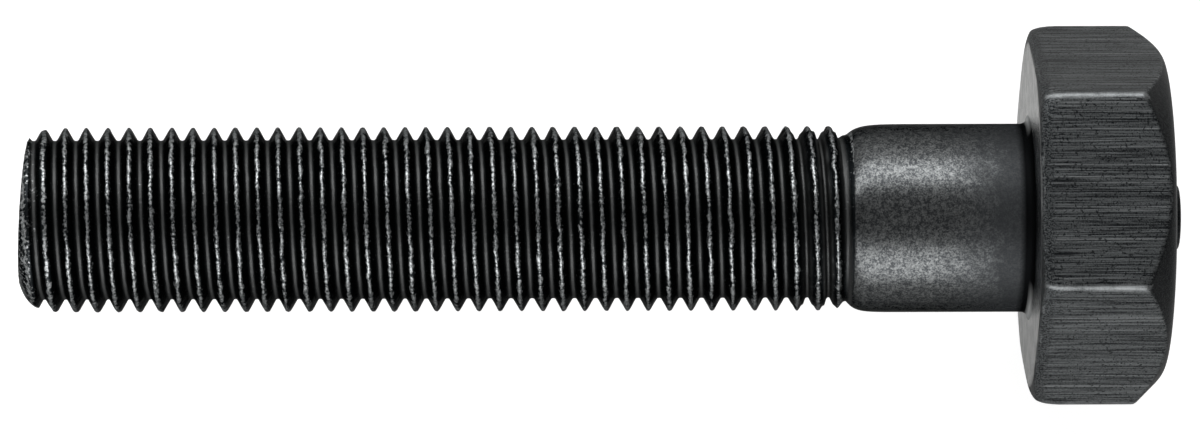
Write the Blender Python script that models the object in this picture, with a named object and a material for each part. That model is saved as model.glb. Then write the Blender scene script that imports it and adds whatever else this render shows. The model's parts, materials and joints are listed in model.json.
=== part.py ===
"""A hexagon-head bolt: head, plain shank and rolled right-hand thread in one piece of blackened steel.

The bolt's axis is X. The flat end of the thread is at x = 0 and the head points toward +X.
Two of the hexagon's flats face up and down, so two of its corners lie along the Y axis.

The surface is one skin. Every ring of it has the same number of points, one on each meridian, which
is a half-plane through the axis. Along the thread the rings are replaced by helix lines, which start
and stop at the thread's two ends.
"""

import math

import bmesh
import bpy

# Driving dimensions, in metres and degrees
PITCH = 0.00127
MAJOR_RADIUS = 0.00553
LENGTH_UNDER_HEAD = 0.0602
THREAD_LENGTH = 0.0493
SHANK_RADIUS = 0.005625
ACROSS_FLATS = 0.0200
HEAD_HEIGHT = 0.0081

# The thread's form: a 60 degree vee with a flat crest and a wider flat root
CREST_FLAT = PITCH / 8
ROOT_FLAT = PITCH / 4
FLANK_ANGLE = 30.0
CREST_PHASE = 0.88  # where the crest crosses the +Y meridian, as a share of the pitch from the end face
RUN_OUT = 0.0006  # the groove fades to the neck over this length

# The thread's point, the neck behind the thread and the fillet under the head
POINT_RADIUS = 0.0045
POINT_LENGTH = 0.00055  # the crests rise from the point's radius along a curve with this length
NECK_RADIUS = 0.00512
NECK_STEPS = 4
SHANK_START = 0.0506
FILLET_RADIUS = 0.0005
FILLET_STEPS = 3

# The head's edges and the raised button on its top
BEARING_EDGE = 0.0005
TOP_FLAT_RADIUS = 0.0095
CHAMFER_ANGLE = 45.0
BUTTON_RADIUS = 0.0020
BUTTON_HEIGHT = 0.00095
BUTTON_EDGE = 0.0003

MERIDIANS = 24  # a multiple of 12, so that some meet the hexagon's corners and others the middle of its flats
SAME_POINT = 1e-7
SHARP_ANGLE = 25.0

STEEL_COLOUR = (0.045, 0.047, 0.050, 1.0)
STEEL_ROUGHNESS = 0.38


def flank_width():
    """The length along the axis that one flank takes."""
    return (PITCH - CREST_FLAT - ROOT_FLAT) / 2


def root_radius():
    return MAJOR_RADIUS - flank_width() / math.tan(math.radians(FLANK_ANGLE))


def groove_radius(x, turn):
    """The thread's radius at x, on the meridian `turn` of a turn round from +Y toward +Z."""
    from_crest = abs((x / PITCH - turn - CREST_PHASE + 0.5) % 1.0 - 0.5) * PITCH
    down_flank = (from_crest - CREST_FLAT / 2) / flank_width()
    down_flank = min(max(down_flank, 0.0), 1.0)
    return MAJOR_RADIUS + (root_radius() - MAJOR_RADIUS) * down_flank


def thread_radius(x, turn):
    """The groove's radius, lowered by the blank's tapered point and faded into the neck at the other end."""
    fade = min(max((THREAD_LENGTH - x) / RUN_OUT, 0.0), 1.0)
    faded = NECK_RADIUS + (groove_radius(x, turn) - NECK_RADIUS) * fade
    tapered = MAJOR_RADIUS - (MAJOR_RADIUS - POINT_RADIUS) * math.exp(-x / POINT_LENGTH)
    return min(faded, tapered)


def hexagon_radius(turn, apothem):
    """The distance from the axis to the hexagon's side on this meridian."""
    from_middle = (turn * 360.0) % 60.0 - 30.0
    return apothem / math.cos(math.radians(from_middle))


def at(x, radius, turn):
    angle = 2 * math.pi * turn
    return (x, radius * math.cos(angle), radius * math.sin(angle))


class Skin:
    """The bolt's surface as it is built, with points that coincide shared."""

    def __init__(self):
        self.mesh = bmesh.new()
        self.points = {}

    def point(self, place):
        key = tuple(round(value / SAME_POINT) for value in place)
        if key not in self.points:
            self.points[key] = self.mesh.verts.new(place)
        return self.points[key]

    def face(self, corners):
        """A face through these corners, or nothing where they have run together at the thread's end."""
        different = list(dict.fromkeys(corners))
        if len(different) > 2:
            self.mesh.faces.new(different)

    def ring(self, x, radius_of):
        """One point on each meridian, at radius_of(turn)."""
        turns = [column / MERIDIANS for column in range(MERIDIANS)]
        return [self.point(at(x_on(x, turn), radius_of(turn), turn)) for turn in turns]

    def join(self, ring, next_ring):
        """Faces between a ring and the next one toward the head."""
        for column in range(MERIDIANS):
            beside = (column + 1) % MERIDIANS
            self.face((ring[column], next_ring[column], next_ring[beside], ring[beside]))


def x_on(x, turn):
    """A ring's place along the axis: one value, or a rule that gives one for each meridian."""
    return x(turn) if callable(x) else x


def add_thread(skin):
    """Helix lines along the edges of the crest and the root. Returns the rings at the two ends."""
    half_crest = CREST_FLAT / 2
    edges = (-half_crest, half_crest, half_crest + flank_width(), half_crest + flank_width() + ROOT_FLAT)
    first_turn = -2
    last_turn = math.ceil(THREAD_LENGTH / PITCH) + 1
    starts = [(CREST_PHASE + turn) * PITCH + edge for turn in range(first_turn, last_turn) for edge in edges]

    def helix_point(line, column):
        if column == MERIDIANS:
            return helix_point(min(line + len(edges), len(starts) - 1), 0)
        turn = column / MERIDIANS
        x = min(max(starts[line] + PITCH * turn, 0.0), THREAD_LENGTH)
        return skin.point(at(x, thread_radius(x, turn), turn))

    for line in range(len(starts) - 1):
        for column in range(MERIDIANS):
            beside = column + 1
            skin.face(
                (
                    helix_point(line, column),
                    helix_point(line + 1, column),
                    helix_point(line + 1, beside),
                    helix_point(line, beside),
                )
            )
    end_ring = skin.ring(0.0, lambda turn: thread_radius(0.0, turn))
    neck_ring = skin.ring(THREAD_LENGTH, lambda turn: NECK_RADIUS)
    return end_ring, neck_ring


def shank_rings(skin):
    """The rise from the neck to the shank, then the shank and the fillet under the head."""
    rings = []
    for step in range(1, NECK_STEPS + 1):
        share = step / NECK_STEPS
        rise = (1 - math.cos(math.pi * share)) / 2
        x = THREAD_LENGTH + (SHANK_START - THREAD_LENGTH) * share
        radius = NECK_RADIUS + (SHANK_RADIUS - NECK_RADIUS) * rise
        rings.append(skin.ring(x, lambda turn, radius=radius: radius))
    for step in range(FILLET_STEPS + 1):
        angle = math.radians(90.0 * step / FILLET_STEPS)
        x = LENGTH_UNDER_HEAD - FILLET_RADIUS * (1 - math.sin(angle))
        radius = SHANK_RADIUS + FILLET_RADIUS * (1 - math.cos(angle))
        rings.append(skin.ring(x, lambda turn, radius=radius: radius))
    return rings


def head_rings(skin):
    """From the bearing face round the flats, over the chamfer and up the button."""
    half_width = ACROSS_FLATS / 2
    top = LENGTH_UNDER_HEAD + HEAD_HEIGHT
    slope = math.tan(math.radians(CHAMFER_ANGLE))

    def side(turn):
        return hexagon_radius(turn, half_width)

    def chamfer_foot(turn):
        return top - (side(turn) - TOP_FLAT_RADIUS) * slope

    return [
        skin.ring(LENGTH_UNDER_HEAD, lambda turn: hexagon_radius(turn, half_width - BEARING_EDGE)),
        skin.ring(LENGTH_UNDER_HEAD + BEARING_EDGE, side),
        skin.ring(chamfer_foot, side),
        skin.ring(top, lambda turn: TOP_FLAT_RADIUS),
        skin.ring(top, lambda turn: BUTTON_RADIUS),
        skin.ring(top + BUTTON_HEIGHT - BUTTON_EDGE, lambda turn: BUTTON_RADIUS),
        skin.ring(top + BUTTON_HEIGHT, lambda turn: BUTTON_RADIUS - BUTTON_EDGE),
    ]


def bolt_mesh():
    skin = Skin()
    end_ring, neck_ring = add_thread(skin)
    rings = [neck_ring, *shank_rings(skin), *head_rings(skin)]
    for ring, next_ring in zip(rings, rings[1:]):
        skin.join(ring, next_ring)
    skin.face(end_ring)
    skin.face(rings[-1][::-1])

    bmesh.ops.recalc_face_normals(skin.mesh, faces=skin.mesh.faces)
    mesh = bpy.data.meshes.new("hex_bolt")
    skin.mesh.to_mesh(mesh)
    skin.mesh.free()
    mesh.shade_smooth()
    mesh.set_sharp_from_angle(angle=math.radians(SHARP_ANGLE))
    return mesh


def black_steel():
    """Hardened steel with a black oxide finish, lightly oiled."""
    material = bpy.data.materials.new("black_oxide_steel")
    material.use_nodes = True
    shader = material.node_tree.nodes["Principled BSDF"]
    shader.inputs["Base Color"].default_value = STEEL_COLOUR
    shader.inputs["Metallic"].default_value = 1.0
    shader.inputs["Roughness"].default_value = STEEL_ROUGHNESS
    return material


def main():
    for leftover in list(bpy.data.objects):
        bpy.data.objects.remove(leftover)
    bolt = bpy.data.objects.new("hex_bolt", bolt_mesh())
    bolt.data.materials.append(black_steel())
    bpy.context.scene.collection.objects.link(bolt)


main()
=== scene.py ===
"""A hexagon-head bolt in blackened steel: rolled thread, plain shank and forged head.

The bolt lies along X, with the flat end of its thread at x = 0 and its head toward +X.
Two of the hexagon's flats face up and down. Lengths are in metres unless a name says otherwise.
"""

import json
import math

import bpy
import numpy as np
from bpy.props import FloatProperty, FloatVectorProperty, IntProperty, PointerProperty
from mathutils import Matrix, Vector


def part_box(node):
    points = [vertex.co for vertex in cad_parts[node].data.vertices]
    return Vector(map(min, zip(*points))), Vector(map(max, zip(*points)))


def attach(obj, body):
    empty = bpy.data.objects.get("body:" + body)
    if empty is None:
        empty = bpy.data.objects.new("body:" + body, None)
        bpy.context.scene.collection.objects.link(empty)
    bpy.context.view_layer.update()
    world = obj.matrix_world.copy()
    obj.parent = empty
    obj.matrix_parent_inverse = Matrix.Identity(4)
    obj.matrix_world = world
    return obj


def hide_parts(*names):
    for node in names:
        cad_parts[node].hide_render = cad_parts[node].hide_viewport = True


bl_info = {
    "name": "Hex bolt",
    "version": (1, 0, 0),
    "blender": (4, 5, 0),
    "location": "3D View > Sidebar > Hex bolt",
    "description": "Builds a blackened steel hex bolt from its thread, shank and head",
    "category": "Add Mesh",
}

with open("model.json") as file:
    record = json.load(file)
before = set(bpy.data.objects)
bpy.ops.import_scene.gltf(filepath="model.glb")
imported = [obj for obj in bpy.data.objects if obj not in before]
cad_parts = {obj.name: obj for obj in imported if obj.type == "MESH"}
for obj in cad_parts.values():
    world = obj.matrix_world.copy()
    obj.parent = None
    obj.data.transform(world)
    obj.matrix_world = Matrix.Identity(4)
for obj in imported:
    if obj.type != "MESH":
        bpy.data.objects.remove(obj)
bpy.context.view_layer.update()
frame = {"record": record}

NODE = "hex_bolt"
MOUNTS = {mount["name"]: Vector(mount["pos_m"]) for mount in frame["record"]["mounts"]}
BEARING_X = MOUNTS["bearing_face"].x
TOP_X = MOUNTS["head_top"].x
HALF_FLATS = MOUNTS["wrench_flat_up"].z
FLOOR_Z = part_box(NODE)[0].z


# Settings


class ThreadSettings(bpy.types.PropertyGroup):
    """The rolled thread: a 60 degree vee wound right-handed round the X axis."""

    pitch: FloatProperty(
        name="Pitch", description="From crest to crest", default=0.00127, unit="LENGTH"
    )
    major_radius: FloatProperty(
        name="Major radius", description="Over the crests", default=0.00556, unit="LENGTH"
    )
    root_radius: FloatProperty(
        name="Root radius", description="At the bottom of the groove", default=0.00476, unit="LENGTH"
    )
    crest_rounding: FloatProperty(
        name="Crest rounding",
        description="How far the crest's rounding reaches",
        default=0.00010,
        unit="LENGTH",
    )
    root_rounding: FloatProperty(
        name="Root rounding",
        description="How far the root's rounding reaches",
        default=0.00010,
        unit="LENGTH",
    )
    point_radius: FloatProperty(
        name="Point radius", description="Of the flat end face", default=0.0045, unit="LENGTH"
    )
    point_length: FloatProperty(
        name="Point length",
        description="Over which the crests rise to within a third of their height",
        default=0.00055,
        unit="LENGTH",
    )
    end_slant: FloatProperty(
        name="End slant",
        description="Of the sheared end face",
        default=math.radians(3.3),
        subtype="ANGLE",
    )
    neck_x: FloatProperty(
        name="Neck",
        description="Where the groove has faded into the neck",
        default=0.04935,
        unit="LENGTH",
    )
    seam_x: FloatProperty(
        name="Seam",
        description="Where the oily finish of the thread stops",
        default=0.04957,
        unit="LENGTH",
    )
    run_out: FloatProperty(
        name="Run-out",
        description="The length over which the groove fades",
        default=0.0009,
        unit="LENGTH",
    )
    crest_phase: FloatProperty(
        name="Crest phase",
        description="Where a crest crosses +Y, as a share of the pitch",
        default=0.931,
    )
    crest_wobble: FloatProperty(
        name="Crest wobble",
        description="How far the rolled crest wanders",
        default=0.00040,
        unit="LENGTH",
    )
    crest_dents: FloatProperty(
        name="Crest dents",
        description="How much the rolled crest's height varies",
        default=0.00013,
        unit="LENGTH",
    )
    fold_height: FloatProperty(
        name="Fold height",
        description="Of the thin folds in the last grooves",
        default=0.00024,
        unit="LENGTH",
    )
    segments: IntProperty(name="Segments", description="Round one turn", default=152, min=24)
    rows: IntProperty(name="Rows", description="Across one pitch", default=14, min=8)
    seed: IntProperty(
        name="Seed", description="Picks another pattern of dents and wandering", default=3
    )


class ShankSettings(bpy.types.PropertyGroup):
    """The plain shank, its shoulder behind the thread and its fillet under the head."""

    radius: FloatProperty(
        name="Radius", description="Of the plain shank", default=0.00565, unit="LENGTH"
    )
    neck_radius: FloatProperty(
        name="Neck radius", description="Behind the thread", default=0.00496, unit="LENGTH"
    )
    shoulder_x: FloatProperty(
        name="Shoulder", description="Where the neck starts to rise", default=0.04924, unit="LENGTH"
    )
    shoulder_width: FloatProperty(
        name="Shoulder width", description="How gently the neck rises", default=0.00045, unit="LENGTH"
    )
    shoulder_lean: FloatProperty(
        name="Shoulder lean",
        description="How much longer the rise is at +Y, as a share of its width",
        default=0.4,
    )
    fillet: FloatProperty(
        name="Fillet", description="Radius under the head", default=0.0005, unit="LENGTH"
    )


class HeadSettings(bpy.types.PropertyGroup):
    """The forged hexagon with its chamfered top and a plain raised button."""

    corner_radius: FloatProperty(
        name="Corner radius", description="Of the six upright edges", default=0.0004, unit="LENGTH"
    )
    top_radius: FloatProperty(
        name="Top radius", description="Of the flat circle on the top", default=0.0096, unit="LENGTH"
    )
    bearing_rounding: FloatProperty(
        name="Bearing rounding",
        description="Reach of the rounding round the underside",
        default=0.0003,
        unit="LENGTH",
    )
    bearing_corners: FloatProperty(
        name="Bearing corners",
        description="Radius beyond which the corners fall away",
        default=0.0111,
        unit="LENGTH",
    )
    chamfer_rounding: FloatProperty(
        name="Chamfer rounding",
        description="Reach of the rounding between flat and chamfer",
        default=0.0002,
        unit="LENGTH",
    )
    top_rounding: FloatProperty(
        name="Top rounding",
        description="Reach of the rounding between chamfer and top",
        default=0.0008,
        unit="LENGTH",
    )
    button_radius: FloatProperty(
        name="Button radius",
        description="Of the raised button on the top",
        default=0.0020,
        unit="LENGTH",
    )
    button_height: FloatProperty(
        name="Button height",
        description="Of the raised button on the top",
        default=0.00095,
        unit="LENGTH",
    )
    forging_offset: FloatProperty(
        name="Forging offset",
        description="Of the hexagon from the shank's axis",
        default=0.00018,
        unit="LENGTH",
    )
    columns: IntProperty(
        name="Columns", description="Round the head, a multiple of 12", default=720, min=72
    )


class StageSettings(bpy.types.PropertyGroup):
    """The floor, the two soft lights and the camera."""

    floor_side: FloatProperty(
        name="Floor", description="Side of the floor", default=12.0, unit="LENGTH"
    )
    light_tilt: FloatVectorProperty(
        name="Light tilt",
        description="Of the far and the near light from overhead",
        size=2,
        default=(math.radians(50), math.radians(66)),
        subtype="EULER",
    )
    light_distance: FloatProperty(
        name="Light distance", description="From the bolt to each light", default=0.42, unit="LENGTH"
    )
    light_middle: FloatProperty(
        name="Light middle",
        description="Where along the bolt the lights are centred",
        default=-0.20,
        unit="LENGTH",
    )
    light_length: FloatProperty(
        name="Light length", description="Along the bolt", default=0.8, unit="LENGTH"
    )
    light_width: FloatVectorProperty(
        name="Light width",
        description="Far side, then near side",
        size=2,
        default=(0.22, 0.31),
        unit="LENGTH",
    )
    light_radiance: FloatVectorProperty(
        name="Light radiance",
        description="Brightness of the far and the near light",
        size=2,
        default=(3.2, 2.0),
    )
    backdrop_glow: FloatProperty(
        name="Backdrop glow", description="Added to the floor where the camera sees it", default=0.75
    )
    camera_elevation: FloatProperty(
        name="Elevation",
        description="Of the camera above the horizon",
        default=math.radians(82),
        subtype="ANGLE",
    )
    camera_roll: FloatProperty(
        name="Roll",
        description="Of the camera about its own axis",
        default=math.radians(0.28),
        subtype="ANGLE",
    )
    camera_distance: FloatProperty(
        name="Distance", description="From the bolt's axis to the camera", default=0.405, unit="LENGTH"
    )
    camera_foot: FloatProperty(
        name="Camera foot",
        description="Point of the axis square under the camera",
        default=0.0282,
        unit="LENGTH",
    )
    camera_aim: FloatVectorProperty(
        name="Aim",
        description="What the middle of the view shows",
        default=(0.0345, 0.00011, 0.0),
        subtype="XYZ",
    )
    field_width: FloatProperty(
        name="Field width", description="Width of the view at the axis", default=0.072, unit="LENGTH"
    )


# Node and colour helpers


def linear(hex_colour):
    """Linear RGBA from an sRGB hex value."""
    values = [int(hex_colour[i : i + 2], 16) / 255 for i in (1, 3, 5)]
    return [v / 12.92 if v <= 0.04045 else ((v + 0.055) / 1.055) ** 2.4 for v in values] + [1.0]


def add_node(tree, kind, inputs=None, **settings):
    """Adds a node, with its settings, and gives each input a value or a link."""
    node = tree.nodes.new(kind)
    for name, value in settings.items():
        setattr(node, name, value)
    for key, value in (inputs or {}).items():
        if isinstance(value, bpy.types.NodeSocket):
            tree.links.new(value, node.inputs[key])
        else:
            node.inputs[key].default_value = value
    return node


def new_material(name):
    """A material holding only its output and Principled shader."""
    material = bpy.data.materials.new(name)
    material.use_nodes = True
    tree = material.node_tree
    return material, tree, tree.nodes["Principled BSDF"]


def finish_piece(name, mesh, material):
    """Puts a mesh in the scene as a piece of the bolt."""
    if name in bpy.data.objects:
        raise RuntimeError(f"{name} is there already")
    piece = bpy.data.objects.new(name, mesh)
    bpy.context.scene.collection.objects.link(piece)
    mesh.materials.clear()
    mesh.materials.append(material)
    mesh.polygons.foreach_set("material_index", np.zeros(len(mesh.polygons), np.int32))
    mesh.shade_smooth()
    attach(piece, "root")
    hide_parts(NODE)
    return piece


def mesh_of_rings(name, rings):
    """A closed mesh through rings of points, whose first and last rings are single points."""
    count = rings.shape[1]
    points = np.concatenate([rings[:1, 0], rings[1:-1].reshape(-1, 3), rings[-1:, 0]])
    last = len(points) - 1
    column = np.arange(count)
    beside = (column + 1) % count
    quads = []
    for ring in range(len(rings) - 3):
        here, there = 1 + ring * count, 1 + (ring + 1) * count
        quads.append(np.stack([here + column, here + beside, there + beside, there + column], axis=1))
    foot, head = 1, 1 + (len(rings) - 3) * count
    fans = [(0, foot + b, foot + a) for a, b in zip(column, beside)]
    fans += [(last, head + a, head + b) for a, b in zip(column, beside)]
    mesh = bpy.data.meshes.new(name)
    mesh.from_pydata(points.tolist(), [], np.concatenate(quads).tolist() + [tuple(map(int, f)) for f in fans])
    mesh.validate()
    return mesh


def store(mesh, name, values):
    """Keeps one number for each point of a mesh of rings, for its material to read."""
    flat = np.concatenate([values[:1, 0], values[1:-1].ravel(), values[-1:, 0]])
    mesh.attributes.new(name, "FLOAT", "POINT").data.foreach_set("value", flat.astype(np.float32))


def smooth_max(a, b, blend):
    """The larger of two lengths, rounded where they are within blend of each other."""
    close = np.maximum(blend - np.abs(a - b), 0.0) / blend
    return np.maximum(a, b) + close**3 * blend / 6


# Materials

OXIDE_TINT = "#8C8C8C"  # black oxide throws back less light at a glancing angle than bare steel does


def mix_colour(tree, factor, low, high):
    """A colour between two others, which are hex colours or links."""
    ends = [value if isinstance(value, bpy.types.NodeSocket) else linear(value) for value in (low, high)]
    mix = add_node(tree, "ShaderNodeMix", {0: factor, 6: ends[0], 7: ends[1]}, data_type="RGBA")
    return mix.outputs[2]


def spread(tree, value, low, high, to_low=0.0, to_high=1.0):
    """A value stretched from one range to another and held inside it."""
    limits = {"Value": value, "From Min": low, "From Max": high, "To Min": to_low, "To Max": to_high}
    return add_node(tree, "ShaderNodeMapRange", limits).outputs["Result"]


def combine(tree, operation, first, second=0.0):
    """One number from two, or from the first alone if the operation takes one."""
    return add_node(tree, "ShaderNodeMath", {0: first, 1: second}, operation=operation).outputs[0]


def speckle(tree, place, size, detail=3.0, roughness=0.6):
    """Noise whose blobs are about this many metres across."""
    settings = {"Vector": place, "Scale": 1 / size, "Detail": detail, "Roughness": roughness}
    return add_node(tree, "ShaderNodeTexNoise", settings).outputs["Fac"]


def stored(tree, name):
    """The number that each point keeps under this name."""
    return add_node(tree, "ShaderNodeAttribute", attribute_name=name).outputs["Fac"]


def roughen(tree, shader, height, strength, depth):
    """Gives a surface a fine relief, this many metres deep."""
    bump = add_node(tree, "ShaderNodeBump", {"Height": height, "Strength": strength, "Distance": depth})
    tree.links.new(bump.outputs["Normal"], shader.inputs["Normal"])


def thread_steel():
    """Rolled steel with black oxide.

    It is near black and oiled in the groove, and rubbed bright along the ragged crest.
    """
    material, tree, shader = new_material("black_oxide_rolled_steel")
    place = add_node(tree, "ShaderNodeTexCoord").outputs["Object"]

    # Rolling marks are a few hundredths of a millimetre across, and are drawn coarser so that they show.
    fine = speckle(tree, place, 0.00018, roughness=0.7)
    patchy = speckle(tree, place, 0.0007, detail=5.0, roughness=0.75)
    ragged = combine(tree, "MULTIPLY", combine(tree, "ADD", fine, patchy), 2.2)
    rubbed = spread(tree, combine(tree, "ADD", stored(tree, "crest"), ragged), 2.8, 3.0)

    flank = mix_colour(tree, stored(tree, "root"), "#232628", "#575858")
    specks = spread(tree, speckle(tree, place, 0.00022, detail=1.0), 0.70, 0.76, 0.0, 0.5)
    flecked = mix_colour(tree, specks, flank, "#8A8D8E")
    bright = mix_colour(tree, spread(tree, fine, 0.45, 0.6), "#6A6D6E", "#BEC1C2")
    tree.links.new(mix_colour(tree, rubbed, flecked, bright), shader.inputs["Base Color"])
    tree.links.new(spread(tree, stored(tree, "root"), 0.0, 1.0, 0.3, 0.5), shader.inputs["Roughness"])
    roughen(tree, shader, fine, strength=0.8, depth=0.00005)
    shader.inputs["Metallic"].default_value = 1.0
    shader.inputs["Specular Tint"].default_value = linear(OXIDE_TINT)
    return material


def shank_steel():
    """Drawn steel with black oxide.

    It is satin and crystalline toward the thread, and matt and darker near the head. It has painted shade,
    near black, in the corner of the fillet all round, and a painted highlight at the foot of the fillet,
    where it meets the head, on its two sides.
    """
    material, tree, shader = new_material("black_oxide_drawn_steel")
    place = add_node(tree, "ShaderNodeTexCoord").outputs["Object"]
    parts = add_node(tree, "ShaderNodeSeparateXYZ", {0: place}).outputs
    along, height = parts["X"], parts["Z"]

    # The oxide's crystals are hundredths of a millimetre across, and are drawn coarser so that they show.
    patchy = speckle(tree, place, 0.0010)
    crystals = speckle(tree, place, 0.00011, detail=2.0, roughness=0.7)
    flakes = speckle(tree, place, 0.00030, detail=4.0, roughness=0.75)
    worn = spread(tree, combine(tree, "ADD", crystals, flakes), 0.87, 1.21)
    ragged_x = combine(tree, "ADD", along, combine(tree, "MULTIPLY", patchy, 0.005))
    matt = spread(tree, ragged_x, BEARING_X - 0.0030, BEARING_X + 0.0008)
    amount = combine(tree, "MULTIPLY", worn, spread(tree, matt, 0.0, 1.0, 1.0, 0.15))
    steel = mix_colour(tree, amount, "#3B3D3F", "#787A7A")

    # Painted shade, near black, lies in the corner of the fillet all round, and a painted highlight lies on
    # the foot of the fillet only at its two sides.
    corner_shade = spread(tree, along, BEARING_X - 0.0009, BEARING_X - 0.0005)
    corner_shaded_steel = mix_colour(tree, corner_shade, steel, "#101112")
    # The foot's painted highlight, only toward the sides at ±Y.
    foot = spread(tree, along, BEARING_X - 0.0003, BEARING_X - 0.0001)
    aside = spread(tree, combine(tree, "ABSOLUTE", height), 0.0015, 0.0038, 1.0, 0.0)
    side_highlight = combine(tree, "MULTIPLY", foot, aside)
    tree.links.new(mix_colour(tree, side_highlight, corner_shaded_steel, "#CBCDCD"), shader.inputs["Base Color"])
    tree.links.new(spread(tree, matt, 0.0, 1.0, 0.30, 0.58), shader.inputs["Roughness"])
    roughen(tree, shader, crystals, strength=0.4, depth=0.00002)
    shader.inputs["Metallic"].default_value = 1.0
    shader.inputs["Specular Tint"].default_value = linear(OXIDE_TINT)
    return material


def head_steel():
    """Forged and trimmed steel with black oxide.

    The flats are matt, with fine lines along them from the trimming die and a scaly band by the underside.
    The edges are lighter, partly worn and partly a painted highlight, the chamfer and the button have painted
    shade, and the underside is rubbed bare.
    """
    material, tree, shader = new_material("black_oxide_forged_steel")
    place = add_node(tree, "ShaderNodeTexCoord").outputs["Object"]
    along = add_node(tree, "ShaderNodeSeparateXYZ", {0: place}).outputs["X"]

    # The die's lines are hundredths of a millimetre wide, and are drawn coarser so that they show.
    stretched = add_node(tree, "ShaderNodeMapping", {"Vector": place, "Scale": (0.02, 1.0, 1.0)}).outputs[0]
    fine_lines = combine(tree, "MULTIPLY", speckle(tree, stretched, 0.00007, detail=1.0), 0.6)
    deep_lines = speckle(tree, stretched, 0.00020, roughness=0.7)
    lines = combine(tree, "ADD", fine_lines, combine(tree, "MULTIPLY", deep_lines, 0.4))
    drawn_out = add_node(tree, "ShaderNodeMapping", {"Vector": place, "Scale": (0.004, 1.0, 1.0)}).outputs[0]
    scores = spread(tree, speckle(tree, drawn_out, 0.00012, detail=1.0), 0.60, 0.68, 0.0, 0.5)

    # By the underside the lines give way to the forging's own grain.
    grain = speckle(tree, place, 0.00010, roughness=0.7)
    cloudy = speckle(tree, place, 0.0010)
    ragged_x = combine(tree, "ADD", along, combine(tree, "MULTIPLY", cloudy, 0.0008))
    trimmed = spread(tree, ragged_x, BEARING_X + 0.0008, BEARING_X + 0.0013, 0.0, 0.7)
    scaly = spread(tree, ragged_x, BEARING_X + 0.0008, BEARING_X + 0.0013, 0.3, 0.0)
    texture = add_node(tree, "ShaderNodeMix", {0: trimmed, 2: grain, 3: lines}).outputs[0]
    forged = mix_colour(tree, spread(tree, texture, 0.43, 0.57), "#232527", "#696C6D")
    scored = mix_colour(tree, combine(tree, "MULTIPLY", scores, trimmed), forged, "#A9ACAD")

    pits = spread(tree, speckle(tree, place, 0.00016, detail=1.0), 0.33, 0.39, 0.8, 0.0)
    # The chamfer and the button get painted shade.
    turned = combine(tree, "MULTIPLY", stored(tree, "turned"), 0.85)
    dark = combine(tree, "MAXIMUM", combine(tree, "MAXIMUM", pits, scaly), turned)
    shade = mix_colour(tree, dark, scored, "#17191B")
    # The edges are painted lighter, partly as wear and partly as a painted highlight.
    wear_noise = combine(tree, "ADD", combine(tree, "MULTIPLY", grain, 0.7), cloudy)
    worn_and_highlit = combine(tree, "ADD", stored(tree, "edge"), wear_noise)
    worn = mix_colour(tree, spread(tree, worn_and_highlit, 1.35, 1.95), shade, "#8E9192")
    bearing = stored(tree, "bearing")
    bare = mix_colour(tree, spread(tree, cloudy, 0.42, 0.58), "#CED0D0", "#FBFBFB")
    tree.links.new(mix_colour(tree, bearing, worn, bare), shader.inputs["Base Color"])
    tree.links.new(spread(tree, bearing, 0.0, 1.0, 0.46, 0.08), shader.inputs["Roughness"])
    roughen(tree, shader, texture, strength=0.8, depth=0.00005)
    shader.inputs["Metallic"].default_value = 1.0
    return material


def floor_paper(glow):
    """Matt white background paper, lit from behind so that it stays white to the camera."""
    material, tree, shader = new_material("white_background_paper")
    seen = add_node(tree, "ShaderNodeLightPath").outputs["Is Camera Ray"]
    tree.links.new(combine(tree, "MULTIPLY", seen, glow), shader.inputs["Emission Strength"])
    shader.inputs["Emission Color"].default_value = linear("#FFFFFF")
    shader.inputs["Base Color"].default_value = linear("#CFCFCE")
    shader.inputs["Roughness"].default_value = 0.9
    return material


# Thread

# The thread and the shank each run a little way into the other, and narrow there, so that no cap shows.
OVERLAP = 0.0003
OVERLAP_SLOPE = 0.2
END_STEEPNESS = 12.0  # how fast the thread's lines fall to the axis behind the seam
NECK_ROUNDING = 0.0002
POINT_ROUNDING = 0.0001

LINE_CROWDING = 0.6  # the share by which the grid's lines are closer on the crest and in the root
WANDER_SIZE = 0.0010  # of the noise that moves the crest sideways
DENT_SIZE = 0.0005  # of the noise that changes the crest's height
DENT_LEVEL = 0.15  # noise above this raises the crest
FOLD_PLACES = (0.31, 0.66)  # shares of the pitch, counted from a crest
FOLD_HALF_WIDTH = 0.11  # as a share of the pitch
FOLDS_START = 3.2  # pitches before the neck
FOLDS_FULL = 1.6
END_WEAR = 0.55  # how worn the end face and its rim are, where a crest is 1
MERGE_DISTANCE = 1e-6

THREAD_INPUTS = (
    ("Pitch", "NodeSocketFloat"),
    ("Lines", "NodeSocketInt"),
    ("Columns", "NodeSocketInt"),
    ("Pitches", "NodeSocketFloat"),
    ("First Pitch", "NodeSocketFloat"),
    ("Crest Phase", "NodeSocketFloat"),
    ("Length", "NodeSocketFloat"),
    ("Major Radius", "NodeSocketFloat"),
    ("Root Radius", "NodeSocketFloat"),
    ("Crest Rounding", "NodeSocketFloat"),
    ("Root Rounding", "NodeSocketFloat"),
    ("Point Radius", "NodeSocketFloat"),
    ("Point Length", "NodeSocketFloat"),
    ("End Slope", "NodeSocketFloat"),
    ("Neck Radius", "NodeSocketFloat"),
    ("Shank Radius", "NodeSocketFloat"),
    ("Shoulder", "NodeSocketFloat"),
    ("Shoulder Width", "NodeSocketFloat"),
    ("Shoulder Lean", "NodeSocketFloat"),
    ("Seam", "NodeSocketFloat"),
    ("Run-out", "NodeSocketFloat"),
    ("Crest Wobble", "NodeSocketFloat"),
    ("Crest Dents", "NodeSocketFloat"),
    ("Fold Height", "NodeSocketFloat"),
    ("Seed", "NodeSocketFloat"),
    ("Material", "NodeSocketMaterial"),
)


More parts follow.
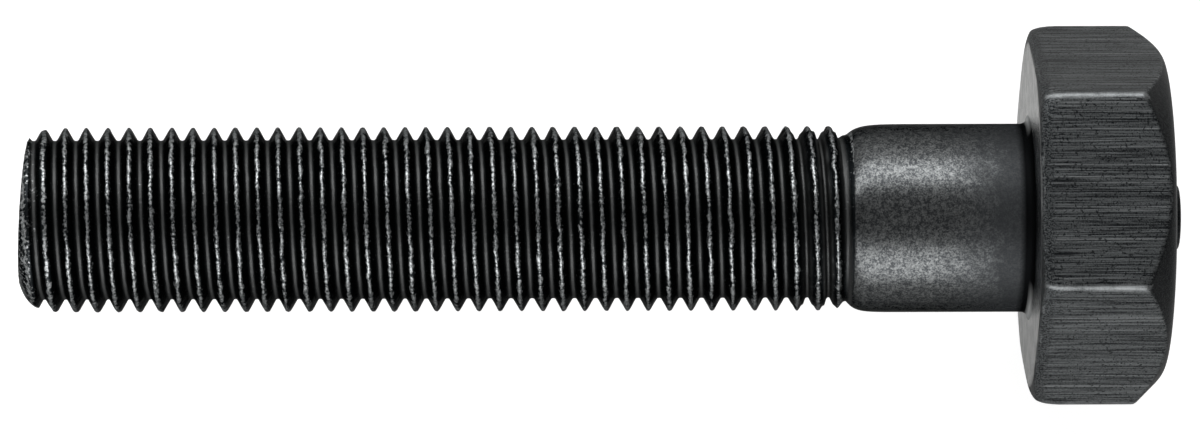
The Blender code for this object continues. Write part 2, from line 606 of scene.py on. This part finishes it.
def thread_tree():
    """Geometry nodes that wind a flat grid into the thread.

    Each line of the grid follows the helix, so the crest and the root never cross its faces. Past the
    two ends the lines turn inward to the axis, which closes the body.
    """
    tree = bpy.data.node_groups.new("rolled_thread", "GeometryNodeTree")
    for name, kind in THREAD_INPUTS:
        tree.interface.new_socket(name=name, in_out="INPUT", socket_type=kind)
    tree.interface.new_socket(name="Geometry", in_out="OUTPUT", socket_type="NodeSocketGeometry")
    given = add_node(tree, "NodeGroupInput").outputs

    def calc(operation, *values):
        """What a Math node makes of these values."""
        inputs = dict(enumerate(values))
        return add_node(tree, "ShaderNodeMath", inputs, operation=operation).outputs[0]

    grid = add_node(
        tree,
        "GeometryNodeMeshGrid",
        {"Size X": 1.0, "Size Y": 1.0, "Vertices X": given["Lines"], "Vertices Y": given["Columns"]},
    ).outputs["Mesh"]
    place = add_node(tree, "GeometryNodeInputPosition").outputs[0]
    flat = add_node(tree, "ShaderNodeSeparateXYZ", {0: place}).outputs
    turn = calc("ADD", flat["Y"], 0.5)
    even = calc("MULTIPLY", calc("ADD", flat["X"], 0.5), given["Pitches"])

    # Lines stand closer together on the crest and in the root than on the flanks.
    wave = calc("SINE", calc("MULTIPLY", even, 4 * math.pi))
    crowd = calc("MULTIPLY", wave, LINE_CROWDING / (4 * math.pi))
    line = calc("ADD", calc("SUBTRACT", even, crowd), given["First Pitch"])
    wound = calc("MULTIPLY", calc("ADD", calc("ADD", line, turn), given["Crest Phase"]), given["Pitch"])
    turned = calc("MULTIPLY", turn, 2 * math.pi)
    across, up = calc("COSINE", turned), calc("SINE", turned)

    # The end face is a slanted plane through the origin.
    face_rim = calc("MULTIPLY", calc("MULTIPLY", across, given["Point Radius"]), given["End Slope"])
    last_x = calc("ADD", given["Seam"], OVERLAP)
    x = calc("MINIMUM", calc("MAXIMUM", wound, face_rim), last_x)
    before = calc("MAXIMUM", calc("SUBTRACT", face_rim, wound), 0.0)
    beyond = calc("MAXIMUM", calc("SUBTRACT", wound, last_x), 0.0)

    # The rolled metal wanders a little, most of all along the crest.
    on_cylinder = add_node(
        tree,
        "ShaderNodeCombineXYZ",
        {
            "X": x,
            "Y": calc("MULTIPLY", across, given["Major Radius"]),
            "Z": calc("MULTIPLY", up, given["Major Radius"]),
        },
    ).outputs[0]

    def noise(size, detail):
        """Noise about zero, with blobs about this many metres across."""
        settings = {
            "Vector": on_cylinder,
            "W": given["Seed"],
            "Scale": 1 / size,
            "Detail": detail,
            "Roughness": 0.6,
        }
        pattern = add_node(tree, "ShaderNodeTexNoise", settings, noise_dimensions="4D").outputs["Fac"]
        return calc("SUBTRACT", pattern, 0.5)

    sideways = calc("MULTIPLY", noise(WANDER_SIZE, 4.0), given["Crest Wobble"])
    raised = calc("SUBTRACT", noise(DENT_SIZE, 2.0), DENT_LEVEL)
    dents = calc("MULTIPLY", raised, given["Crest Dents"])

    # How far a point is from the nearest crest along the axis, and the vee's radius there. The crest's flat
    # is a tenth of the pitch wide, half of it on each side.
    pitches_along = calc("SUBTRACT", calc("DIVIDE", x, given["Pitch"]), turn)
    even_phase = calc("SUBTRACT", pitches_along, given["Crest Phase"])
    near_crest = calc("SUBTRACT", 1.0, calc("MULTIPLY", calc("PINGPONG", even_phase, 0.5), 2.0))
    wander = calc("DIVIDE", calc("MULTIPLY", sideways, near_crest), given["Pitch"])
    phase = calc("ADD", even_phase, wander)
    from_crest = calc("MULTIPLY", calc("PINGPONG", phase, 0.5), given["Pitch"])
    half_crest = calc("DIVIDE", given["Pitch"], 20.0)
    down = calc("MULTIPLY", calc("SUBTRACT", from_crest, half_crest), math.sqrt(3))
    vee = calc("SUBTRACT", given["Major Radius"], down)

    # The blank's end is tapered, so the first crests are lower.
    decay = calc("EXPONENT", calc("DIVIDE", calc("MULTIPLY", x, -1.0), given["Point Length"]))
    missing = calc("MULTIPLY", calc("SUBTRACT", given["Major Radius"], given["Point Radius"]), decay)
    envelope = calc("SUBTRACT", given["Major Radius"], missing)
    ceiling = calc("ADD", envelope, dents)
    crested = calc("SMOOTH_MIN", vee, ceiling, given["Crest Rounding"])

    def share(value, near, far, at_near=0.0, at_far=1.0, **settings):
        """A number that goes from at_near to at_far as the value goes from near to far."""
        limits = {"Value": value, "From Min": near, "From Max": far, "To Min": at_near, "To Max": at_far}
        return add_node(tree, "ShaderNodeMapRange", limits, **settings).outputs["Result"]

    def before_neck(pitches):
        """The place along the axis this many pitches before the neck."""
        return calc("SUBTRACT", given["Length"], calc("MULTIPLY", given["Pitch"], pitches))

    # The last grooves hold thin folds of metal on both sides of the root, until the groove fades.
    share_of_pitch = calc("FRACT", phase)
    folds = 0.0
    for fold_place in FOLD_PLACES:
        beside = calc("ABSOLUTE", calc("SUBTRACT", share_of_pitch, fold_place))
        ridge = calc("MAXIMUM", calc("SUBTRACT", 1.0, calc("DIVIDE", beside, FOLD_HALF_WIDTH)), 0.0)
        folds = calc("ADD", calc("MULTIPLY", ridge, given["Fold Height"]), folds)
    last_turns = share(x, before_neck(FOLDS_START), before_neck(FOLDS_FULL))
    fade_start = calc("SUBTRACT", given["Length"], given["Run-out"])
    fade = share(x, fade_start, given["Length"], interpolation_type="SMOOTHSTEP")
    fold = calc("MULTIPLY", calc("MULTIPLY", folds, last_turns), calc("SUBTRACT", 1.0, fade))

    # The shoulder rises from the neck to the shank, more slowly toward +Y.
    toward_y = calc("MULTIPLY", calc("ADD", across, 1.0), 0.5)
    longer = calc("ADD", calc("MULTIPLY", toward_y, given["Shoulder Lean"]), 1.0)
    shoulder_width = calc("MULTIPLY", longer, given["Shoulder Width"])
    unrisen = calc("EXPONENT", calc("DIVIDE", calc("SUBTRACT", given["Shoulder"], x), shoulder_width))
    full_rise = calc("SUBTRACT", given["Shank Radius"], given["Neck Radius"])
    rise = calc("SUBTRACT", given["Shank Radius"], calc("MULTIPLY", full_rise, unrisen))
    shoulder = calc("SMOOTH_MAX", rise, given["Neck Radius"], NECK_ROUNDING)

    # All of it together, narrowing past the seam and falling to the axis beyond both ends.
    rooted = calc("SMOOTH_MAX", crested, given["Root Radius"], given["Root Rounding"])
    pointed = calc("SMOOTH_MIN", calc("ADD", rooted, fold), envelope, POINT_ROUNDING)
    to_neck = calc("MULTIPLY", calc("SUBTRACT", shoulder, pointed), fade)
    past_seam = calc("MAXIMUM", calc("SUBTRACT", x, given["Seam"]), 0.0)
    narrowed = calc("MULTIPLY", past_seam, OVERLAP_SLOPE)
    shaped = calc("SUBTRACT", calc("ADD", pointed, to_neck), narrowed)
    inward = calc("ADD", before, calc("MULTIPLY", beyond, END_STEEPNESS))
    radius = calc("MAXIMUM", calc("SUBTRACT", shaped, inward), 0.0)

    # Points that have turned inward at the end lie on the slanted plane.
    on_face = calc("MULTIPLY", calc("MULTIPLY", across, radius), given["End Slope"])
    inside = calc("GREATER_THAN", before, 0.0)
    off_face = calc("MULTIPLY", x, calc("SUBTRACT", 1.0, inside))
    final_x = calc("ADD", calc("MULTIPLY", on_face, inside), off_face)
    wound_place = add_node(
        tree,
        "ShaderNodeCombineXYZ",
        {"X": final_x, "Y": calc("MULTIPLY", across, radius), "Z": calc("MULTIPLY", up, radius)},
    ).outputs[0]

    # What the material reads: how worn each point is, and how near the root or on a fold.
    on_crest = share(from_crest, 0.00003, 0.00024, 1.0, 0.0)
    on_end = calc("MULTIPLY", share(x, 0.0003, 0.0013, 1.0, 0.0), END_WEAR)
    from_root = calc("SUBTRACT", calc("DIVIDE", given["Pitch"], 2.0), from_crest)
    in_root = share(from_root, 0.00006, 0.00020, 1.0, 0.0)
    on_fold = calc("DIVIDE", fold, given["Fold Height"])
    skin = grid
    for name, value in (
        ("crest", calc("MAXIMUM", on_crest, on_end)),
        ("root", calc("MAXIMUM", in_root, on_fold)),
    ):
        skin = add_node(
            tree,
            "GeometryNodeStoreNamedAttribute",
            {"Geometry": skin, "Name": name, "Value": value},
            data_type="FLOAT",
            domain="POINT",
        ).outputs[0]
    skin = add_node(tree, "GeometryNodeSetPosition", {"Geometry": skin, "Position": wound_place}).outputs[0]
    skin = add_node(
        tree, "GeometryNodeMergeByDistance", {"Geometry": skin, "Distance": MERGE_DISTANCE}
    ).outputs[0]
    skin = add_node(tree, "GeometryNodeFlipFaces", {"Mesh": skin}).outputs[0]
    skin = add_node(tree, "GeometryNodeRealizeInstances", {"Geometry": skin}).outputs[0]
    skin = add_node(
        tree, "GeometryNodeSetMaterial", {"Geometry": skin, "Material": given["Material"]}
    ).outputs[0]
    add_node(tree, "NodeGroupOutput", {"Geometry": skin})
    return tree


def mesh_from_nodes(name, tree, values):
    """The plain mesh that a node tree makes from these inputs."""
    holder = bpy.data.objects.new(name, bpy.data.meshes.new(name))
    bpy.context.scene.collection.objects.link(holder)
    modifier = holder.modifiers.new(name, "NODES")
    modifier.node_group = tree
    for item in tree.interface.items_tree:
        if item.in_out == "INPUT":
            modifier[item.identifier] = values[item.name]
    graph = bpy.context.evaluated_depsgraph_get()
    mesh = bpy.data.meshes.new_from_object(holder.evaluated_get(graph))
    holder.modifiers.clear()
    bpy.data.objects.remove(holder)
    if not mesh.polygons:
        raise RuntimeError(f"the nodes of {name} made no faces")
    mesh.name = name
    return mesh


class HEXBOLT_OT_thread(bpy.types.Operator):
    """Adds the rolled thread with its point and run-out"""

    bl_idname = "hexbolt.thread"
    bl_label = "Add thread"

    def execute(self, context):
        sizes = context.scene.hexbolt_thread
        shank = context.scene.hexbolt_shank

        # The lines start and stop far enough past the two ends to fall to the axis.
        first_pitch = -2 - math.ceil(sizes.point_radius / sizes.pitch)
        last_x = sizes.seam_x + OVERLAP + shank.radius / END_STEEPNESS
        pitches = math.ceil(last_x / sizes.pitch) + 1 - first_pitch
        steel = thread_steel()
        mesh = mesh_from_nodes(
            "bolt_thread",
            thread_tree(),
            {
                "Pitch": sizes.pitch,
                "Lines": pitches * sizes.rows + 1,
                "Columns": sizes.segments + 1,
                "Pitches": float(pitches),
                "First Pitch": float(first_pitch),
                "Crest Phase": sizes.crest_phase,
                "Length": sizes.neck_x,
                "Major Radius": sizes.major_radius,
                "Root Radius": sizes.root_radius,
                "Crest Rounding": sizes.crest_rounding,
                "Root Rounding": sizes.root_rounding,
                "Point Radius": sizes.point_radius,
                "Point Length": sizes.point_length,
                "End Slope": math.tan(sizes.end_slant),
                "Neck Radius": shank.neck_radius,
                "Shank Radius": shank.radius,
                "Shoulder": shank.shoulder_x,
                "Shoulder Width": shank.shoulder_width,
                "Shoulder Lean": shank.shoulder_lean,
                "Seam": sizes.seam_x,
                "Run-out": sizes.run_out,
                "Crest Wobble": sizes.crest_wobble,
                "Crest Dents": sizes.crest_dents,
                "Fold Height": sizes.fold_height,
                "Seed": float(sizes.seed),
                "Material": steel,
            },
        )
        finish_piece("bolt_thread", mesh, steel)
        return {"FINISHED"}


# Shank

SHOULDER_WIDTHS = 8  # the rise is followed over this many times its width
BURIED_RINGS = 4
SHOULDER_RINGS = 50
PLAIN_RINGS = 30
FILLET_RINGS = 14


def shoulder_radius(x, turned, shank):
    """The rise from the neck to the shank: a row for each x, and a column for each angle round the axis."""
    width = shank.shoulder_width * (1 + shank.shoulder_lean * (1 + np.cos(turned)) / 2)
    unrisen = np.exp((shank.shoulder_x - x[:, None]) / width)
    rise = shank.radius - (shank.radius - shank.neck_radius) * unrisen
    return smooth_max(rise, shank.neck_radius, NECK_ROUNDING)


def shank_rings(seam_x, segments, shank):
    """Rings from inside the thread, up the shoulder, along the shank and round the fillet into the head."""
    turned = np.linspace(0, 2 * np.pi, segments, endpoint=False)
    shoulder_end = shank.shoulder_x + SHOULDER_WIDTHS * shank.shoulder_width * (1 + shank.shoulder_lean)
    buried = np.linspace(seam_x - OVERLAP, seam_x, BURIED_RINGS + 1)[:-1]
    shoulder = np.linspace(seam_x, shoulder_end, SHOULDER_RINGS)
    plain = np.linspace(shoulder_end, BEARING_X - shank.fillet, PLAIN_RINGS)[1:]
    bend = np.radians(np.linspace(0, 90, FILLET_RINGS))[1:]
    foot_radius = shank.radius + shank.fillet + OVERLAP / 3

    narrowed = (seam_x - buried)[:, None] * OVERLAP_SLOPE
    parts = (
        (buried[:1], np.zeros(1)),
        (buried, shoulder_radius(buried, turned, shank) - narrowed),
        (shoulder, shoulder_radius(shoulder, turned, shank)),
        (plain, np.full(len(plain), shank.radius)),
        (BEARING_X - shank.fillet * (1 - np.sin(bend)), shank.radius + shank.fillet * (1 - np.cos(bend))),
        (BEARING_X + OVERLAP * np.array([0.1, 2.0, 2.0]), np.array([foot_radius, foot_radius, 0.0])),
    )
    xs = np.concatenate([x for x, _ in parts])[:, None]
    rows = [radius if radius.ndim == 2 else np.outer(radius, np.ones(segments)) for _, radius in parts]
    radii = np.concatenate(rows)
    return np.stack(np.broadcast_arrays(xs, radii * np.cos(turned), radii * np.sin(turned)), axis=2)


class HEXBOLT_OT_shank(bpy.types.Operator):
    """Adds the plain shank, from its shoulder to the fillet under the head"""

    bl_idname = "hexbolt.shank"
    bl_label = "Add shank"

    def execute(self, context):
        thread = context.scene.hexbolt_thread
        rings = shank_rings(thread.seam_x, thread.segments, context.scene.hexbolt_shank)
        finish_piece("bolt_shank", mesh_of_rings("bolt_shank", rings), shank_steel())
        return {"FINISHED"}


# Head

BUTTON_ROUNDING = 0.0005
BUTTON_FOOT_ROUNDING = 0.0002
BUTTON_EDGE = 0.0003
BUTTON_MIDDLE = 0.0002  # radius of the last ring round the button's middle
INSIDE_SHANK = 0.0046  # radius where the rings of the underside start, hidden by the shank
NEAR_EDGE = 0.0009  # rings are closer together within this distance of the lower edge
NEAR_TOP = 0.0011  # and of the top circle
NEAR_FOOT = 0.0003  # and of the foot of the chamfer
SEARCH_SHARES = (0.5, 1.3)  # the rounded surface lies between these shares of the way to the sharp one
SEARCH_STEPS = 40

# Reaches and strengths of the edges' lighter paint, which is partly wear and partly a painted highlight.
CORNER_WEAR_AND_HIGHLIGHT_REACH = 0.0005
CHAMFER_RIM_WEAR_AND_HIGHLIGHT_REACH = 0.0003
CHAMFER_RIM_WEAR_AND_HIGHLIGHT = 0.5  # where the upright edges are 1
BEARING_RIM_WEAR_AND_HIGHLIGHT_REACH = 0.0002
BEARING_RIM_WEAR_AND_HIGHLIGHT = 0.65
FINISH_BORDER = 0.0001  # the width over which one finish gives way to the next


def hexagon_distance(y, z, corner):
    """How far a point is outside the hexagon, whose corners are rounded."""
    radius = np.hypot(y, z)
    from_middle = np.mod(np.arctan2(z, y), np.pi / 3) - np.pi / 6
    out, along = radius * np.cos(from_middle), np.abs(radius * np.sin(from_middle))
    inner = HALF_FLATS - corner
    past = np.maximum(along - inner * math.tan(math.pi / 6), 0.0)
    return np.where(out > inner, np.hypot(out - inner, past), out - inner) - corner


def head_distance(points, sizes):
    """How far a point is outside the head, with all of its edges rounded."""
    x, y, z = points[..., 0], points[..., 1], points[..., 2]
    radius = np.hypot(y, z)
    above = x - TOP_X
    chamfer = (radius - sizes.top_radius + above) * math.sqrt(0.5)
    below = BEARING_X - x
    fallen = (radius - sizes.bearing_corners + below) * math.sqrt(0.5)
    solid = smooth_max(hexagon_distance(y, z, sizes.corner_radius), below, sizes.bearing_rounding)
    solid = smooth_max(solid, fallen, 4 * sizes.bearing_rounding)
    solid = smooth_max(solid, chamfer, sizes.chamfer_rounding)
    solid = smooth_max(solid, above, sizes.top_rounding)
    button = smooth_max(radius - sizes.button_radius, above - sizes.button_height, BUTTON_ROUNDING)
    return -smooth_max(-solid, -button, BUTTON_FOOT_ROUNDING)


def head_targets(sizes):
    """Points along each meridian of the sharp-edged head, closer together near its edges."""
    turned = np.linspace(0, 2 * np.pi, sizes.columns, endpoint=False)
    side = HALF_FLATS / np.cos(np.mod(turned, np.pi / 3) - np.pi / 6)
    foot = TOP_X - (side - sizes.top_radius)
    all_round = np.ones_like(side)
    button_top = TOP_X + sizes.button_height
    chamfer_rise, chamfer_run = TOP_X - foot, side - sizes.top_radius
    # Each stop has its place, its radius and the number of rings from there to the next stop.
    stops = (
        (BEARING_X * all_round, INSIDE_SHANK * all_round, 10),
        (BEARING_X * all_round, side - NEAR_EDGE, 8),
        (BEARING_X * all_round, side, 8),
        ((BEARING_X + NEAR_EDGE) * all_round, side, 12),
        (foot - NEAR_FOOT, side, 4),
        (foot, side, 4),
        (foot + 0.35 * chamfer_rise, side - 0.35 * chamfer_run, 4),
        (foot + 0.65 * chamfer_rise, side - 0.65 * chamfer_run, 5),
        (TOP_X * all_round, sizes.top_radius * all_round, 7),
        (TOP_X * all_round, (sizes.top_radius - NEAR_TOP) * all_round, 12),
        (TOP_X * all_round, (sizes.button_radius + BUTTON_EDGE) * all_round, 4),
        (TOP_X * all_round, sizes.button_radius * all_round, 5),
        (button_top * all_round, sizes.button_radius * all_round, 4),
        (button_top * all_round, (sizes.button_radius - BUTTON_EDGE) * all_round, 5),
        (button_top * all_round, BUTTON_MIDDLE * all_round, 1),
    )
    xs, radii = [BEARING_X * all_round], [0.0 * all_round]
    for (x, radius, count), (next_x, next_radius, _) in zip(stops, stops[1:]):
        for share in np.arange(count) / count:
            xs.append(x + (next_x - x) * share)
            radii.append(radius + (next_radius - radius) * share)
    xs += [button_top * all_round, button_top * all_round]
    radii += [BUTTON_MIDDLE * all_round, 0.0 * all_round]
    xs, radii = np.array(xs), np.array(radii)
    return np.stack([xs, radii * np.cos(turned), radii * np.sin(turned)], axis=2)


def onto_head(targets, sizes):
    """Moves each target along its line from the head's middle until it lies on the rounded surface."""
    middle = np.array([(BEARING_X + TOP_X) / 2, 0.0, 0.0])
    rays = targets - middle
    low, high = (np.full(rays.shape[:2], share) for share in SEARCH_SHARES)
    for _ in range(SEARCH_STEPS):
        share = (low + high) / 2
        outside = head_distance(middle + rays * share[..., None], sizes) > 0
        high = np.where(outside, share, high)
        low = np.where(outside, low, share)
    placed = middle + rays * share[..., None]
    placed[..., 0] = np.maximum(placed[..., 0], BEARING_X)
    return placed


def past_chamfer(points, sizes):
    """How far a point is outside the chamfer's cone."""
    radius = np.hypot(points[..., 1], points[..., 2])
    return (radius - sizes.top_radius + points[..., 0] - TOP_X) * math.sqrt(0.5)


def edge_wear_and_highlight(points, sizes):
    """Edge wear with a painted highlight: 1 on the rounded upright edges, less on the rims of the chamfer and
    the underside, 0 elsewhere.
    """
    x, y, z = points[..., 0], points[..., 1], points[..., 2]
    radius = np.hypot(y, z)
    from_middle = np.abs(np.mod(np.arctan2(z, y), np.pi / 3) - np.pi / 6)
    to_corner = HALF_FLATS * math.tan(math.pi / 6) - radius * np.sin(from_middle)
    below_chamfer = x < TOP_X - 0.0015
    upright = np.clip(1.2 - to_corner / CORNER_WEAR_AND_HIGHLIGHT_REACH, 0, 1) * below_chamfer
    off_rim = np.abs(past_chamfer(points, sizes) - hexagon_distance(y, z, sizes.corner_radius))
    chamfer_rim = CHAMFER_RIM_WEAR_AND_HIGHLIGHT * np.clip(1 - off_rim / CHAMFER_RIM_WEAR_AND_HIGHLIGHT_REACH, 0, 1)
    off_bearing = np.abs(x - BEARING_X - BEARING_RIM_WEAR_AND_HIGHLIGHT_REACH)
    bearing_rim = BEARING_RIM_WEAR_AND_HIGHLIGHT * np.clip(1 - off_bearing / BEARING_RIM_WEAR_AND_HIGHLIGHT_REACH, 0, 1)
    on_side = np.clip((radius - 0.97 * HALF_FLATS) / FINISH_BORDER, 0, 1)
    return np.maximum(np.maximum(upright, bearing_rim), chamfer_rim) * on_side


def painted_shade_faces(points, sizes):
    """1 on the turned chamfer and the button, which the material darkens with painted shade, and 0 on the
    forged flats and the top.
    """
    x, y, z = points[..., 0], points[..., 1], points[..., 2]
    outside_flats = hexagon_distance(y, z, sizes.corner_radius)
    past_flats = np.clip((past_chamfer(points, sizes) - outside_flats) / FINISH_BORDER, 0, 1)
    past_top = np.clip((np.hypot(y, z) - sizes.top_radius) / 0.0003 + 1, 0, 1)
    on_button = np.clip((x - TOP_X) / FINISH_BORDER, 0, 1)
    return np.maximum(past_flats * past_top, on_button)


def bearing_face(points):
    """1 on the flat underside, and 0 from 0.04 mm above it."""
    return np.clip((BEARING_X + 0.00004 - points[..., 0]) / 0.00003, 0, 1)


def offset_hexagon(rings, offset):
    """Shifts the hexagon toward +Y. The shift grows with the radius, so that the button stays on the axis."""
    radius = np.hypot(rings[..., 1], rings[..., 2])
    shifted = rings.copy()
    shifted[..., 1] += offset * np.clip((radius - 0.0025) / 0.002, 0, 1)
    return shifted


class HEXBOLT_OT_head(bpy.types.Operator):
    """Adds the forged hexagon head with its chamfer and raised button"""

    bl_idname = "hexbolt.head"
    bl_label = "Add head"

    def execute(self, context):
        sizes = context.scene.hexbolt_head
        rings = onto_head(head_targets(sizes), sizes)
        mesh = mesh_of_rings("bolt_head", offset_hexagon(rings, sizes.forging_offset))
        # Edge wear with a painted highlight, which the material paints lighter.
        store(mesh, "edge", edge_wear_and_highlight(rings, sizes))
        # Marks the chamfer and the button, which the material darkens with painted shade.
        store(mesh, "turned", painted_shade_faces(rings, sizes))
        store(mesh, "bearing", bearing_face(rings))
        finish_piece("bolt_head", mesh, head_steel())
        return {"FINISHED"}


# Stage


def add_floor(settings):
    """A sheet of white background paper under the bolt."""
    half = settings.floor_side / 2
    mesh = bpy.data.meshes.new("floor")
    corners = [(-half, -half, FLOOR_Z), (half, -half, FLOOR_Z), (half, half, FLOOR_Z), (-half, half, FLOOR_Z)]
    mesh.from_pydata(corners, [], [(0, 1, 2, 3)])
    mesh.materials.append(floor_paper(settings.backdrop_glow))
    floor = bpy.data.objects.new("floor", mesh)
    bpy.context.scene.collection.objects.link(floor)


def add_light(name, side, which, settings):
    """A long softbox beside the bolt, tilted to face its axis."""
    light = bpy.data.lights.new(name, "AREA")
    light.shape = "RECTANGLE"
    light.size, light.size_y = settings.light_length, settings.light_width[which]
    light.energy = settings.light_radiance[which] * math.pi * light.size * light.size_y
    softbox = bpy.data.objects.new(name, light)
    middle = Vector((settings.light_middle, 0, 0))
    tilt = settings.light_tilt[which]
    away = Vector((0, side * math.sin(tilt), math.cos(tilt)))
    across = Vector((1, 0, 0))
    turn = Matrix((across, away.cross(across), away)).transposed()
    softbox.matrix_world = Matrix.Translation(middle + away * settings.light_distance) @ turn.to_4x4()
    softbox.visible_camera = False
    bpy.context.scene.collection.objects.link(softbox)


def add_surroundings():
    """A white room that is darker overhead, where the camera stands, and beyond the bolt's two ends."""
    world = bpy.data.worlds.new("studio")
    world.use_nodes = True
    tree = world.node_tree
    direction = add_node(tree, "ShaderNodeTexCoord").outputs["Generated"]
    parts = add_node(tree, "ShaderNodeSeparateXYZ", {0: direction}).outputs
    overhead = spread(tree, parts["Z"], 0.35, 0.85, 0.9, 0.32)
    endward = combine(tree, "ABSOLUTE", parts["X"])
    open_side = spread(tree, endward, 0.15, 0.7, 1.0, 0.25)
    background = tree.nodes["Background"]
    tree.links.new(combine(tree, "MULTIPLY", overhead, open_side), background.inputs["Strength"])
    background.inputs["Color"].default_value = linear("#FFFFFF")
    bpy.context.scene.world = world


def add_camera(settings):
    """A camera almost straight above the thread, turned to look a little toward the head."""
    camera = bpy.data.objects.new("camera", bpy.data.cameras.new("camera"))
    away = Vector((0, -math.cos(settings.camera_elevation), math.sin(settings.camera_elevation)))
    place = Vector((settings.camera_foot, 0, 0)) + away * settings.camera_distance
    back = (place - Vector(settings.camera_aim)).normalized()
    right = Vector((0, 1, 0)).cross(back).normalized()
    turn = Matrix((right, back.cross(right), back)).transposed()
    turn = turn @ Matrix.Rotation(-settings.camera_roll, 3, "Z")
    camera.matrix_world = Matrix.Translation(place) @ turn.to_4x4()
    camera.data.lens = camera.data.sensor_width * settings.camera_distance / settings.field_width
    camera.data.clip_start = 0.01
    bpy.context.scene.collection.objects.link(camera)
    bpy.context.scene.camera = camera


class HEXBOLT_OT_stage(bpy.types.Operator):
    """Adds the pale floor, the two soft lights, the surroundings and the camera"""

    bl_idname = "hexbolt.stage"
    bl_label = "Add stage"

    def execute(self, context):
        settings = context.scene.hexbolt_stage
        add_floor(settings)
        add_light("softbox_far", 1, 0, settings)
        add_light("softbox_near", -1, 1, settings)
        add_surroundings()
        add_camera(settings)
        context.scene.view_settings.view_transform = "Standard"
        return {"FINISHED"}


# Panel and registration


class HEXBOLT_PT_panel(bpy.types.Panel):
    """Lists the bolt's settings and the operators that build it"""

    bl_label = "Hex bolt"
    bl_idname = "HEXBOLT_PT_panel"
    bl_space_type = "VIEW_3D"
    bl_region_type = "UI"
    bl_category = "Hex bolt"

    def draw(self, context):
        for settings_name, operator in zip(SETTINGS, OPERATORS):
            box = self.layout.box()
            settings = getattr(context.scene, settings_name)
            for name in settings.__annotations__:
                box.prop(settings, name)
            box.operator(operator.bl_idname)


SETTINGS = {
    "hexbolt_thread": ThreadSettings,
    "hexbolt_shank": ShankSettings,
    "hexbolt_head": HeadSettings,
    "hexbolt_stage": StageSettings,
}
OPERATORS = (HEXBOLT_OT_thread, HEXBOLT_OT_shank, HEXBOLT_OT_head, HEXBOLT_OT_stage)


def register():
    for kind in (*SETTINGS.values(), *OPERATORS, HEXBOLT_PT_panel):
        bpy.utils.register_class(kind)
    for name, kind in SETTINGS.items():
        setattr(bpy.types.Scene, name, PointerProperty(type=kind))


def unregister():
    for name in SETTINGS:
        delattr(bpy.types.Scene, name)
    for kind in (HEXBOLT_PT_panel, *OPERATORS, *SETTINGS.values()):
        bpy.utils.unregister_class(kind)


def main():
    register()
    bpy.ops.hexbolt.stage()
    bpy.ops.hexbolt.thread()
    bpy.ops.hexbolt.shank()
    bpy.ops.hexbolt.head()


if __name__ == "__main__":
    main()
